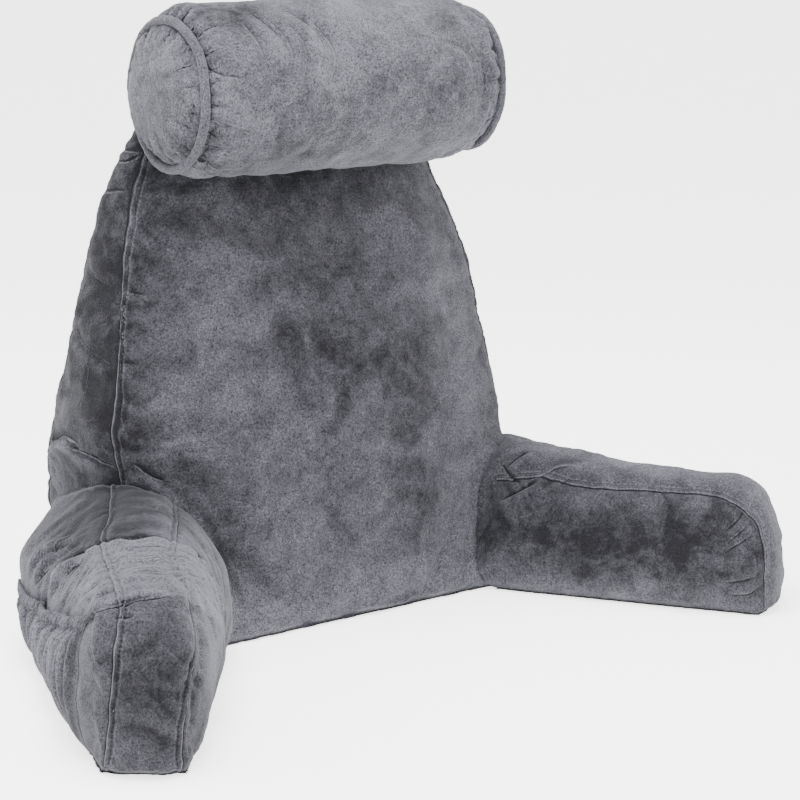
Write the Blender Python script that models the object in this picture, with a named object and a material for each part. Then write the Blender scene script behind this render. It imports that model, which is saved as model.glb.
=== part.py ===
"""Reading pillow with two arms, a neck roll and an outside pocket.

Every filled piece is a boxed cushion: two crowned panels sewn to the two edges of a
strip. The front faces -Y, +Z is up, and the pillow stands on the plane z = 0.
"""
import math

import bmesh
import bpy
from mathutils import Vector

# Driving dimensions, in metres
GAP = 0.0005                # air between pieces that touch
CLEARANCE = 0.0007          # how far a piece is swollen before it cuts its neighbour

BACK_LEAN = 0.21            # set-back of the front edge for each metre of height
FOOT_STEP = 0.035           # further set-back of the front edge just above its foot
FOOT_RISE = 0.06            # height over which that step comes in
FRONT_CROWN = 0.042
REAR_CROWN = 0.048
EDGE_SWELL = 0.012          # how far the back's edge strip stands out
REAR_SPREAD = 0.16          # how much wider the rear is than the front at the floor
BACK_MIDDLE = (0.0, 0.27)

ARM_STRIP = 0.085           # width of the strip over the top and tip of an arm
ARM_STRIP_SWELL = 0.012
ARM_TIP_RADIUS = 0.058      # rounding where the strip turns down at the tip
ARM_TIP_LEAN = 0.014        # how far the tip leans back at its top
ARM_FOOT_RADIUS = 0.008     # rounding where the strip turns under the tip
ARM_INNER_CROWN = 0.021
ARM_OUTER_CROWN = 0.008
ARM_SHOULDER = 2.4          # how long the outer panel stays wide before it turns over
ARM_MIDDLE = (0.06, 0.08)

ROLL_LENGTH = 0.389         # between the seams of the two ends
ROLL_RADIUS = 0.090
ROLL_SEAM_RADIUS = 0.0715
ROLL_END_CROWN = 0.026
ROLL_CENTRE = Vector((0.0, 0.074, 0.601))
ROLL_DRAW_IN = 0.022        # length over which the barrel narrows to its seam
PIPING_RADIUS = 0.0045
PIPING_RING_RADIUS = 0.0768

POCKET_FOOT = 0.006         # height of the pocket's lower edge
POCKET_CLOTH = 0.002
POCKET_GAP = 0.0018         # air between the arm and the pocket's cloth
POCKET_PLEAT = 0.0035       # height of the gathers below the elastic
POCKET_PLEATS = 13
ELASTIC_HEIGHT = 0.014
ELASTIC_CLOTH = 0.003

COVER_COLOUR = (0.17, 0.17, 0.19)
TRIM_COLOUR = (0.15, 0.15, 0.17)
COVER_ROUGHNESS = 0.9

# Half of the back's outline, from the floor to the middle of its top
BACK_OUTLINE = (
    # half width, height
    (0.215, 0.000),
    (0.243, 0.100),
    (0.258, 0.200),
    (0.252, 0.300),
    (0.232, 0.400),
    (0.208, 0.480),
    (0.172, 0.550),
    (0.115, 0.585),
    (0.000, 0.595),
)

# Rear edge of the back at each height
BACK_REAR = (
    # height, depth behind the foot of the front
    (0.000, 0.240),
    (0.150, 0.252),
    (0.300, 0.212),
    (0.400, 0.196),
    (0.500, 0.187),
    (0.600, 0.184),
)

# Floor lines of an arm on the +X side, and how far in its strip's inner seam lies
ARM_PLAN = (
    # along, inner x, inner y, outer x, outer y, inner seam
    (-0.200, 0.120, 0.190, 0.266, 0.240, 0.080),
    (-0.100, 0.130, 0.110, 0.336, 0.166, 0.080),
    (0.000, 0.184, 0.000, 0.374, 0.036, 0.050),
    (0.120, 0.252, -0.096, 0.408, -0.082, 0.030),
    (0.250, 0.328, -0.200, 0.438, -0.166, 0.010),
    (0.345, 0.386, -0.276, 0.454, -0.225, 0.000),
)

# Height of the seams over an arm, from its root beside the back to its tip
ARM_TOP = (
    # along, height
    (-0.200, 0.080),
    (-0.185, 0.112),
    (-0.145, 0.140),
    (-0.080, 0.162),
    (0.000, 0.171),
    (0.120, 0.161),
    (0.250, 0.159),
    (0.345, 0.159),
)

# The two arms as filled: one is a little longer and taller than the other
ARMS = (
    # node, side, share of the plan's free length, share of the height
    ("arm_left", -1, 1.04, 1.00),
    ("arm_right", 1, 0.97, 0.89),
)

# Upper edge of the pocket on the outside of the left arm
POCKET_TOP = (
    # along, height
    (-0.110, 0.066),
    (-0.030, 0.070),
    (0.070, 0.080),
    (0.180, 0.105),
    (0.275, 0.132),
)


def table_value(rows, column, at):
    """One column of a table at a place between its rows, on a smooth curve."""
    last = len(rows) - 1
    index = max(i for i in range(last) if i == 0 or rows[i][0] <= at)
    span = rows[index + 1][0] - rows[index][0]
    part = (at - rows[index][0]) / span

    def slope(i):
        before, after = rows[max(i - 1, 0)], rows[min(i + 1, last)]
        return (after[column] - before[column]) / (after[0] - before[0])

    start_share = (1 + 2 * part) * (1 - part) ** 2
    value = start_share * rows[index][column] + (1 - start_share) * rows[index + 1][column]
    value += span * part * (1 - part) ** 2 * slope(index)
    return value - span * part ** 2 * (1 - part) * slope(index + 1)


def smooth_line(points, count, fineness=16):
    """Evenly spaced points on a smooth curve through the given ones."""
    points = [Vector(p) for p in points]
    ends = [2 * points[0] - points[1]] + points + [2 * points[-1] - points[-2]]
    fine = []
    for a, b, c, d in zip(ends, ends[1:], ends[2:], ends[3:]):
        for step in range(fineness):
            t = step / fineness
            bend = (2 * a - 5 * b + 4 * c - d) * t ** 2 + (3 * b - a - 3 * c + d) * t ** 3
            fine.append(b + 0.5 * ((c - a) * t + bend))
    fine.append(points[-1])
    lengths = [0.0]
    for a, b in zip(fine, fine[1:]):
        lengths.append(lengths[-1] + (b - a).length)
    even = []
    piece = 0
    for i in range(count + 1):
        want = lengths[-1] * i / count
        while piece < len(fine) - 2 and lengths[piece + 1] < want:
            piece += 1
        part = (want - lengths[piece]) / (lengths[piece + 1] - lengths[piece])
        even.append(fine[piece].lerp(fine[piece + 1], part))
    return even


def arc(radius, x, y, start, steps):
    """Points of a quarter circle that turns anticlockwise from a start in degrees."""
    points = []
    for i in range(steps + 1):
        angle = math.radians(start + 90 * i / steps)
        points.append(Vector((x + radius * math.cos(angle), y + radius * math.sin(angle))))
    return points


class BoxedCushion:
    """A closed outline sewn between two panels, side 0 and side 1.

    place(point, side) is where a flat panel would lie in space, and
    outward(point, side) is the direction in which it crowns."""

    def __init__(self, outline, middle, place, outward, crowns, swell):
        self.outline = outline
        self.middle = Vector(middle)
        self.place = place
        self.outward = outward
        self.crowns = crowns
        self.swell = swell          # (outline point, its normal, part across) -> offset

    def panel_point(self, point, side, scale):
        """A point of a panel; scale is 1 on its seam and 0 at its middle."""
        lift = self.crowns[side] * (1 - scale ** 3)
        return self.place(point, side) + self.outward(point, side) * lift

    def seam_scale(self, point):
        """How far a point lies from the panel's middle towards its seam, as 0 to 1."""
        ray = point - self.middle
        for a, b in zip(self.outline, self.outline[1:] + self.outline[:1]):
            first, edge = a - self.middle, b - a
            across = ray.cross(edge)
            if abs(across) < 1e-12:
                continue
            if first.cross(edge) / across > 0 and 0 <= first.cross(ray) / across <= 1:
                return min(1.0, across / first.cross(edge))
        return 0.0

    def surface(self, point, side):
        return self.panel_point(point, side, self.seam_scale(point))

    def mesh(self, strip_rows, scales):
        """Vertices and faces: rings inward over both panels, rows across the strip."""
        count = len(self.outline)
        verts = [self.panel_point(self.middle, side, 0.0) for side in (0, 1)]
        loops = []

        def add_loop(points):
            loops.append(range(len(verts), len(verts) + count))
            verts.extend(points)

        def add_ring(side, scale):
            ring = [self.middle.lerp(p, scale) for p in self.outline]
            add_loop([self.panel_point(p, side, scale) for p in ring])

        for scale in reversed(scales):
            add_ring(0, scale)
        for row in range(strip_rows + 1):
            part = row / strip_rows
            points = []
            for i, here in enumerate(self.outline):
                tangent = self.outline[(i + 1) % count] - self.outline[i - 1]
                normal = Vector((tangent.y, -tangent.x)).normalized()
                base = self.place(here, 0).lerp(self.place(here, 1), part)
                points.append(base + self.swell(here, normal, part))
            add_loop(points)
        for scale in scales:
            add_ring(1, scale)

        faces = []
        for i in range(count):
            j = (i + 1) % count
            faces.append((0, loops[0][j], loops[0][i]))
            for a, b in zip(loops, loops[1:]):
                faces.append((a[i], a[j], b[j], b[i]))
            faces.append((1, loops[-1][i], loops[-1][j]))
        return verts, faces


def bulge(part):
    """A soft rise and fall across a strip: 0 on its seams, 1 in its middle."""
    return 4 * part * (1 - part)


def cloth_material(name, colour):
    shade = bpy.data.materials.new(name)
    shade.use_nodes = True
    surface = shade.node_tree.nodes["Principled BSDF"]
    surface.inputs["Base Color"].default_value = (*colour, 1.0)
    surface.inputs["Roughness"].default_value = COVER_ROUGHNESS
    surface.inputs["Metallic"].default_value = 0.0
    return shade


def add_object(name, verts, faces, colour=COVER_COLOUR, side=1):
    """A mesh object; side -1 mirrors it to the -X side."""
    mesh = bpy.data.meshes.new(name)
    mesh.from_pydata([(v[0] * side, v[1], v[2]) for v in verts], [], faces)
    shape = bmesh.new()
    shape.from_mesh(mesh)
    bmesh.ops.triangulate(shape, faces=shape.faces)
    bmesh.ops.recalc_face_normals(shape, faces=shape.faces)
    shape.to_mesh(mesh)
    shape.free()
    mesh.shade_smooth()
    mesh.set_sharp_from_angle(angle=math.radians(50))
    mesh.materials.append(cloth_material(name, colour))
    thing = bpy.data.objects.new(name, mesh)
    bpy.context.collection.objects.link(thing)
    return thing


def press_into(target, presser):
    """Cut a piece back from another that is swollen by the clearance."""
    swollen = presser.copy()
    swollen.data = presser.data.copy()
    bpy.context.collection.objects.link(swollen)
    for vertex in swollen.data.vertices:
        vertex.co = vertex.co + vertex.normal * CLEARANCE
    cut = target.modifiers.new("cut", "BOOLEAN")
    cut.object = swollen
    cut.solver = "EXACT"
    depsgraph = bpy.context.evaluated_depsgraph_get()
    result = bpy.data.meshes.new_from_object(target.evaluated_get(depsgraph))
    target.modifiers.remove(cut)
    target.data = result
    bpy.data.objects.remove(swollen)


def back_cushion():
    half = smooth_line(BACK_OUTLINE, 22)
    steps = 10
    corner = half[0].x
    foot = [Vector((corner * (2 * i / steps - 1), 0.0)) for i in range(1, steps)]
    left = [Vector((-p.x, p.y)) for p in reversed(half[:-1])]
    outline = left + foot + half
    top = BACK_OUTLINE[-1][1]

    def place(point, side):
        if side == 0:
            step = FOOT_STEP * (1 - math.exp(-point.y / FOOT_RISE))
            return Vector((point.x, BACK_LEAN * point.y + step, point.y))
        spread = 1 + REAR_SPREAD * (1 - point.y / top) ** 3
        return Vector((point.x * spread, table_value(BACK_REAR, 1, point.y), point.y))

    def outward(point, side):
        return Vector((0.0, 2.0 * side - 1.0, 0.0))

    def swell(here, normal, part):
        if here.y == 0.0:
            return Vector((0.0, 0.0, 0.0))
        return Vector((normal.x, 0.0, max(normal.y, 0.0))) * EDGE_SWELL * bulge(part)

    crowns = (FRONT_CROWN, REAR_CROWN)
    return BoxedCushion(outline, BACK_MIDDLE, place, outward, crowns, swell)


def arm_cushion(stretch, tall):
    """An arm on the +X side; its outline runs along the arm and up."""
    rear, tip = ARM_PLAN[0][0], ARM_PLAN[-1][0]
    height = ARM_TOP[-1][1] * tall
    crown, foot = ARM_TIP_RADIUS, ARM_FOOT_RADIUS
    steps = 13
    floor = [Vector((rear + (tip - foot - rear) * i / steps, 0.0)) for i in range(steps)]
    face = [Vector((tip, foot + (height - crown - foot) * i / 3)) for i in (1, 2)]
    ridge = [(row[0], row[1] * tall) for row in ARM_TOP if row[0] < tip - crown]
    top = smooth_line([(tip - crown, height)] + ridge[::-1], 16)[1:]
    outline = floor + arc(foot, tip - foot, foot, -90, 2) + face
    outline += arc(crown, tip - crown, height - crown, 0, 4) + top
    outline = [Vector((p.x - ARM_TIP_LEAN * (p.y / height) ** 2, p.y)) for p in outline]
    root = Vector((table_value(ARM_PLAN, 1, 0.0), table_value(ARM_PLAN, 2, 0.0), 0.0))

    def section(along):
        """Inner end, outward direction and width of the arm's floor line."""
        inner = Vector((table_value(ARM_PLAN, 1, along), table_value(ARM_PLAN, 2, along), 0.0))
        outer = Vector((table_value(ARM_PLAN, 3, along), table_value(ARM_PLAN, 4, along), 0.0))
        across = outer - inner
        if along > 0:
            inner = root + (inner - root) * stretch
        return inner, across.normalized(), across.length

    def place(point, side):
        inner, across, width = section(point.x)
        seam = table_value(ARM_PLAN, 5, point.x)
        rise = point.y / (table_value(ARM_TOP, 1, point.x) * tall)
        rise = min(1.0, max(0.0, rise))
        if side == 0:
            shift = seam * rise ** 1.2
        else:
            spread = max(0.0, width - seam - ARM_STRIP)
            shift = seam + ARM_STRIP + spread * (1 - rise ** ARM_SHOULDER) ** 0.6
            shift = min(shift, width)
        return inner + across * shift + Vector((0.0, 0.0, point.y))

    def outward(point, side):
        return section(point.x)[1] * (2 * side - 1)

    def swell(here, normal, part):
        if here.y == 0.0:
            return Vector((0.0, 0.0, 0.0))
        across = section(here.x)[1]
        forward = Vector((across.y, -across.x, 0.0)) * normal.x
        upward = Vector((0.0, 0.0, max(normal.y, 0.0)))
        return (forward + upward) * ARM_STRIP_SWELL * bulge(part)

    middle = (ARM_MIDDLE[0], ARM_MIDDLE[1] * tall)
    crowns = (ARM_INNER_CROWN, ARM_OUTER_CROWN)
    return BoxedCushion(outline, middle, place, outward, crowns, swell)


def neck_roll_cushion():
    """The roll: its barrel is the strip and its two ends are the panels."""
    steps = 40
    outline = []
    for i in range(steps):
        angle = 2 * math.pi * i / steps
        outline.append(Vector((math.cos(angle), math.sin(angle))))

    def place(point, side):
        end = ROLL_LENGTH / 2 * (2 * side - 1)
        seam = Vector((0.0, -point.x, point.y)) * ROLL_SEAM_RADIUS
        return ROLL_CENTRE + Vector((end, 0.0, 0.0)) + seam

    def outward(point, side):
        return Vector((2.0 * side - 1.0, 0.0, 0.0))

    def swell(here, normal, part):
        from_seam = ROLL_LENGTH * min(part, 1 - part)
        full = (ROLL_RADIUS - ROLL_SEAM_RADIUS) * (1 - math.exp(-from_seam / ROLL_DRAW_IN))
        return Vector((0.0, -here.x, here.y)) * full

    crowns = (ROLL_END_CROWN, ROLL_END_CROWN)
    return BoxedCushion(outline, (0.0, 0.0), place, outward, crowns, swell)


def piping_ring(name, end):
    """A covered cord bent to a ring round one end of the neck roll."""
    turns, sides = 40, 6
    verts = []
    for i in range(turns):
        turn = 2 * math.pi * i / turns
        for j in range(sides):
            round_cord = 2 * math.pi * j / sides
            reach = PIPING_RING_RADIUS + PIPING_RADIUS * math.cos(round_cord)
            offset = Vector((end + PIPING_RADIUS * math.sin(round_cord),
                             reach * math.cos(turn), reach * math.sin(turn)))
            verts.append(ROLL_CENTRE + offset)
    faces = []
    for i in range(turns):
        a, b = i * sides, (i + 1) % turns * sides
        for j in range(sides):
            k = (j + 1) % sides
            faces.append((a + j, b + j, b + k, a + k))
    return add_object(name, verts, faces, TRIM_COLOUR)


def sheet_on_arm(name, cushion, side, columns, rows, edges, layers, colour):
    """A thin closed sheet over an arm's outer panel.

    edges(part) gives a column's place along the arm and its low and high edge, and
    layers(part, rise) the distances of the sheet's two faces from the panel."""
    step = 0.002
    verts = []
    for face in (0, 1):
        for i in range(columns + 1):
            along, low, high = edges(i / columns)
            for j in range(rows + 1):
                here = Vector((along, low + (high - low) * j / rows))
                point = cushion.surface(here, 1)
                ahead = cushion.surface(here + Vector((step, 0.0)), 1) - point
                above = cushion.surface(here + Vector((0.0, step)), 1) - point
                normal = above.cross(ahead).normalized()
                verts.append(point + normal * layers(i / columns, j / rows)[face])

    def at(face, i, j):
        return (face * (columns + 1) + i) * (rows + 1) + j

    faces = []
    for i in range(columns):
        for j in range(rows):
            for face in (0, 1):
                faces.append((at(face, i, j), at(face, i + 1, j),
                              at(face, i + 1, j + 1), at(face, i, j + 1)))
        for j in (0, rows):
            faces.append((at(0, i, j), at(0, i + 1, j), at(1, i + 1, j), at(1, i, j)))
    for j in range(rows):
        for i in (0, columns):
            faces.append((at(0, i, j), at(0, i, j + 1), at(1, i, j + 1), at(1, i, j)))
    return add_object(name, verts, faces, colour, side)


def add_pocket(cushion, side):
    """The pocket's gathered cloth, and the elastic band along its top."""
    rear, front = POCKET_TOP[0][0], POCKET_TOP[-1][0]

    def cloth_edges(part):
        along = rear + (front - rear) * part
        return along, POCKET_FOOT, table_value(POCKET_TOP, 1, along)

    def cloth_layers(part, rise):
        wave = 0.5 - 0.5 * math.cos(2 * math.pi * POCKET_PLEATS * part)
        lift = POCKET_GAP + POCKET_PLEAT * wave * rise ** 0.7
        return lift, lift + POCKET_CLOTH

    def band_edges(part):
        along, _, high = cloth_edges(part)
        return along, high + GAP, high + GAP + ELASTIC_HEIGHT

    def band_layers(part, rise):
        return POCKET_GAP, POCKET_GAP + ELASTIC_CLOTH

    sheet_on_arm("arm_pocket", cushion, side, 4 * POCKET_PLEATS, 5,
                 cloth_edges, cloth_layers, COVER_COLOUR)
    sheet_on_arm("pocket_elastic", cushion, side, 2 * POCKET_PLEATS, 1,
                 band_edges, band_layers, TRIM_COLOUR)


def stand_on_origin():
    """Move everything so that the whole box stands centred on the origin."""
    things = bpy.context.collection.objects
    corners = [v.co for thing in things for v in thing.data.vertices]
    middle = [(min(c[k] for c in corners) + max(c[k] for c in corners)) / 2 for k in (0, 1)]
    for thing in things:
        for vertex in thing.data.vertices:
            vertex.co = vertex.co - Vector((middle[0], middle[1], 0.0))


def build():
    for thing in list(bpy.data.objects):
        bpy.data.objects.remove(thing, do_unlink=True)

    back = add_object("back_cushion", *back_cushion().mesh(
        6, (0.985, 0.95, 0.88, 0.76, 0.6, 0.4, 0.2)))
    for name, side, stretch, tall in ARMS:
        cushion = arm_cushion(stretch, tall)
        verts, faces = cushion.mesh(5, (0.98, 0.93, 0.84, 0.68, 0.45, 0.2))
        press_into(add_object(name, verts, faces, side=side), back)
        if name == "arm_left":
            add_pocket(cushion, side)
    roll = add_object("neck_roll", *neck_roll_cushion().mesh(12, (0.97, 0.88, 0.7, 0.4)))
    press_into(back, roll)
    for name, end in (("neck_roll_piping_left", -1), ("neck_roll_piping_right", 1)):
        press_into(back, piping_ring(name, end * ROLL_LENGTH / 2))
    stand_on_origin()


build()
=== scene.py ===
"""Reading pillow with two arms, a neck roll and a gathered side pocket, in grey plush."""
from math import cos, exp, pi, radians, sin, sqrt

import bmesh
import bpy
import numpy as np
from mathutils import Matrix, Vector
from mathutils.bvhtree import BVHTree


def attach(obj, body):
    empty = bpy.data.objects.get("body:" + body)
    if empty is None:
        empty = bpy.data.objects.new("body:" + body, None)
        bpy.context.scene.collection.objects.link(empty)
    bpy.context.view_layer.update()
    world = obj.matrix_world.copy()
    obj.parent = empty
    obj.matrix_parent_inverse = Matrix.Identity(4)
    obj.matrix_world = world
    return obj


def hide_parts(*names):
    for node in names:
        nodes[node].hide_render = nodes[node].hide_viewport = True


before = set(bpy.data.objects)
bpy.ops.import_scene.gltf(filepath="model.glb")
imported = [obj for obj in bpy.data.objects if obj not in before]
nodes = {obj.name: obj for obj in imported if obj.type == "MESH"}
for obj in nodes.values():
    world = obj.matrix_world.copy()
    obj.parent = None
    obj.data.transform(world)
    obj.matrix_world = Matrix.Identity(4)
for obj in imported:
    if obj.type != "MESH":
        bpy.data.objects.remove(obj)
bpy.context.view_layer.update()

# Sizes, in metres
BACK_VOXEL = 0.0058         # how finely the back, the arms and the roll are divided
ARM_VOXEL = 0.0043
ROLL_VOXEL = 0.0052
SEAM_GAP = 0.0056           # the row of topstitching lies this far from its seam
STITCH_PITCH = 0.0046
STITCH_LENGTH = 0.0032
STITCH_RADIUS = 0.0006
STITCH_DEPTH = 0.0007       # how far the thread sinks into the pile
CLEAR_OF_FLOOR = 0.006      # no stitches lower than this
FAR = 0.03                  # past this, a seam or a fold no longer shows in the pile

# The front and rear edges of the back, where its panels meet the edge strip
BACK_EDGE = (
    # half width, height
    (0.215, 0.0), (0.243, 0.1), (0.258, 0.2), (0.252, 0.3), (0.232, 0.4), (0.208, 0.48),
    (0.172, 0.55), (0.115, 0.585), (0.0, 0.595),
)
BACK_REAR = (
    # height, depth
    (0.0, 0.24), (0.15, 0.252), (0.3, 0.212), (0.4, 0.196), (0.5, 0.187), (0.6, 0.184),
)
BACK_TOP = 0.595
BACK_LEAN = 0.21            # how far the front edge leans back for each metre of height
FOOT_STEP = 0.035           # the edge steps back this far above the foot
FOOT_RISE = 0.06
SAG_HEIGHT = 0.2            # about this height the arm's seam draws the front edge back
SAG_REACH = 0.07
SAG_DEPTH = 0.013
SAG_SPREAD = 0.012
REAR_SPREAD = 0.16          # how much wider the rear edge is at the floor
SHIFT = np.array((0.00707, -0.00422, 0.0))  # the CAD model's own centring

ROLL_CENTRE = np.array((0.0, 0.074, 0.601)) + SHIFT
ROLL_HALF = 0.1945
SEAM_RADIUS = 0.072         # where the roll's cloth is held by its piping
BARREL_RADIUS = 0.0735      # the barrel's cloth lies outside this, the end caps' inside
RING_RADIUS = 0.079
CORD_RADIUS = 0.005
CAP_FLAT = 0.38             # the share of the end caps' bulge that the piping holds back


# ---------------------------------------------------------------- lines and fields

def mm(*points):
    """Points, given in millimetres, as metres."""
    return [tuple(c / 1000 for c in p) for p in points]


def smooth_line(points, step=0.006):
    """A smooth curve through given points, as evenly spaced points."""
    points = [np.array(p, float) for p in points]
    if len(points) == 2:
        middle = (points[0] + points[1]) / 2
        points = [points[0], middle, points[1]]
    ends = [2 * points[0] - points[1]] + points + [2 * points[-1] - points[-2]]
    fine = []
    for a, b, c, d in zip(ends, ends[1:], ends[2:], ends[3:]):
        for k in range(12):
            t = k / 12
            bend = (2 * a - 5 * b + 4 * c - d) * t ** 2 + (3 * b - a - 3 * c + d) * t ** 3
            fine.append(b + 0.5 * ((c - a) * t + bend))
    fine.append(points[-1])
    fine = np.array(fine)
    lengths = np.concatenate(([0], np.cumsum(np.linalg.norm(np.diff(fine, axis=0), axis=1))))
    count = max(3, int(lengths[-1] / step) + 1)
    want = np.linspace(0, lengths[-1], count)
    return np.stack([np.interp(want, lengths, fine[:, k]) for k in range(3)], axis=1)


def waves(co, size, seed, count=28):
    """A smooth random field over space, about -1 to 1, with lumps of the given size."""
    dice = np.random.default_rng(seed)
    total = np.zeros(len(co))
    for _ in range(count):
        way = dice.normal(size=3)
        way *= dice.uniform(0.6, 1.5) / np.linalg.norm(way)
        total += np.sin(co @ way * (pi / size) + dice.uniform(0, 2 * pi))
    return total / sqrt(count)


def hump(x):
    """A smooth hill, 1 where x is 0."""
    return np.exp(-x * x)


def patch_of(co, centre, reach):
    """A soft round patch about a centre, with its reach along each axis."""
    d = (co - np.array(centre)) / np.array(reach)
    return hump(np.sqrt((d * d).sum(1)))


def shown(normals, facing, sureness):
    """1 on cloth that faces a given way, down to 0 on cloth that doesn't."""
    return np.clip(normals @ np.array(facing, float) * sureness, 0, 1)


class Skin:
    """The surface of one filled piece while its seams and folds are worked in."""

    def __init__(self, piece):
        self.piece = piece
        count = len(piece.data.vertices)
        self.co = coordinates(piece.data)
        self.nap_and_painted_light = np.zeros(count)         # painted light and shade, and the pile's brushed lie
        self.across = np.full(count, 1.0)  # signed distance from the nearest seam
        self.along = np.zeros(count)       # the distance along that seam
        self.crease = np.full(count, 1.0)  # signed distance from the nearest sharp fold
        self.sharp = np.zeros(count)       # how sharp that fold is
        self.lift = np.zeros(count)        # still to be moved outwards
        self.refresh()

    def refresh(self):
        """Apply the lift so far and take the new normals."""
        mesh = self.piece.data
        if np.any(self.lift):
            self.co += self.no * self.lift[:, None]
            self.lift[:] = 0
        place_points(mesh, self.co)
        mesh.update()
        self.no = coordinates(mesh, "normal")

    def near(self, line, reach, facing=None):
        """Points near a line: indices, signed distance over the surface, part along, length."""
        spare = 0.02
        low, high = line.min(0) - reach - spare, line.max(0) + reach + spare
        inside = ((self.co > low) & (self.co < high)).all(1)
        if facing is not None:
            inside &= self.no @ np.array(facing, float) > 0.0
        index = np.nonzero(inside)[0]
        p, n = self.co[index], self.no[index]
        too_far = 9.0
        best = np.full(len(index), too_far)
        side = np.zeros(len(index))
        part = np.zeros(len(index))
        total = len(line) - 1
        for i in range(total):
            ab = line[i + 1] - line[i]
            t = np.clip((p - line[i]) @ ab / (ab @ ab), 0, 1)
            d = p - line[i] - t[:, None] * ab
            off = (d * n).sum(1)
            flat = np.sqrt(np.maximum((d * d).sum(1) - off * off, 0))
            flat = np.where(np.abs(off) > FAR, too_far, flat)
            closer = flat < best
            best = np.where(closer, flat, best)
            part = np.where(closer, (i + t) / total, part)
            side = np.where(closer, np.sign((np.cross(ab, n) * d).sum(1)), side)
        keep = best < reach
        length = np.linalg.norm(np.diff(line, axis=0), axis=1).sum()
        return index[keep], (best * side)[keep], part[keep], length

    def folds(self, *rows):
        """Several folds, each a line, depth, width, lip, sharpness and facing."""
        for row in rows:
            self.fold(*row)

    def fold(self, points, depth, width, lip=0.0, sharp=0.6, facing=None, ends=0.25,
             shade=1.0):
        """A soft trough (a ridge where depth is negative). A lip stands beside it, on the
        right-hand side of the line where lip is above 0 and on the left below it."""
        line = smooth_line(points)
        index, s, part, _ = self.near(line, max(width * 4.5, 0.012), facing)
        if not len(index):
            return
        if lip < 0:
            s = -s
        fade = np.clip(np.minimum(part, 1 - part) / max(ends, 1e-3), 0, 1)
        fade = np.sin(fade * pi / 2)
        dip = hump(s / width) * fade
        rise = hump((s - 1.9 * width) / (1.3 * width)) * fade
        self.lift[index] += abs(lip) * rise - depth * dip
        deepest, highest = 0.004, 0.003
        strong = min(abs(depth) / deepest, 1)
        # painted highlight on the lip and painted shade in the trough
        self.nap_and_painted_light[index] += shade * (0.14 * min(abs(lip) / highest, 1) * rise
                                    - 0.16 * np.sign(depth) * strong * dip)
        # far from the fold the distance is overstated, so that its line stays narrow
        swollen = s * (1 + (s / 0.007) ** 2)
        closer = np.abs(swollen) < np.abs(self.crease[index])
        chosen = index[closer]
        self.crease[chosen] = swollen[closer]
        self.sharp[chosen] = sharp * fade[closer] * (0.35 + 0.65 * strong)

    def nap_and_sheen_step(self, points, amount, reach):
        """The pile changes its lie across a line, with painted sheen: lighter on its right,
        darker on its left.
        """
        index, s, part, _ = self.near(smooth_line(points), reach * 2.2)
        fade = np.sin(np.clip(np.minimum(part, 1 - part) / 0.12, 0, 1) * pi / 2)
        self.nap_and_painted_light[index] += amount * np.sign(s) * np.exp(-np.abs(s) / reach) * fade

    def wrinkles(self, first, last, count, depth, width, seed, shade=1.0, facing=None,
                 trim=0.35, sharp=0.6):
        """Small uneven folds between two guiding lines."""
        dice = np.random.default_rng(seed)
        a, b = smooth_line(first, 0.01), smooth_line(last, 0.01)
        steps = np.linspace(0, 1, 14)

        def at(line, where):
            place = where * (len(line) - 1)
            return np.stack([np.interp(place, np.arange(len(line)), line[:, k])
                             for k in range(3)], axis=1)

        for k in range(count):
            mix = (k + 0.5 + dice.uniform(-0.35, 0.35)) / count
            start, end = dice.uniform(0, trim), 1 - dice.uniform(0, trim)
            where = start + steps * (end - start)
            drift = mix + dice.uniform(-0.5, 0.5) / count * np.sin(steps * pi
                                                                   * dice.uniform(0.5, 1.5))
            line = at(a, where) * (1 - drift)[:, None] + at(b, where) * drift[:, None]
            strength = dice.uniform(0.45, 1.0)
            self.fold(line, depth * strength, width * dice.uniform(0.8, 1.3),
                      lip=depth * strength * 0.55, shade=shade, ends=0.4, facing=facing,
                      sharp=sharp)

    def smooth(self, centre, reach, rounds, facing):
        """Iron out small waves in a patch of the cloth."""
        mesh = self.piece.data
        ends = np.zeros(len(mesh.edges) * 2, np.int32)
        mesh.edges.foreach_get("vertices", ends)
        ends = np.concatenate((ends.reshape(-1, 2), ends.reshape(-1, 2)[:, ::-1]))
        weight = np.clip(2 * patch_of(self.co, centre, reach), 0, 1)
        weight *= shown(self.no, facing, 3)
        faint = 0.01
        chosen = weight[ends[:, 0]] > faint
        first, second = ends[chosen].T
        count = np.maximum(np.bincount(first, minlength=len(weight)), 1)
        for _ in range(rounds):
            mean = np.stack([np.bincount(first, self.co[second, k], len(weight)) / count
                             for k in range(3)], axis=1)
            self.co += np.where(weight > faint, weight, 0)[:, None] * (mean - self.co)
        self.refresh()

    def brush(self, centre, reach, amount, facing=None):
        """A patch painted lighter or darker: painted light and shade on cloth that faces
        towards or away from the light, with the pile's brushed lie.
        """
        weight = patch_of(self.co, centre, reach)
        if facing is not None:
            weight *= shown(self.no, facing, 2)
        self.nap_and_painted_light += amount * weight

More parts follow.
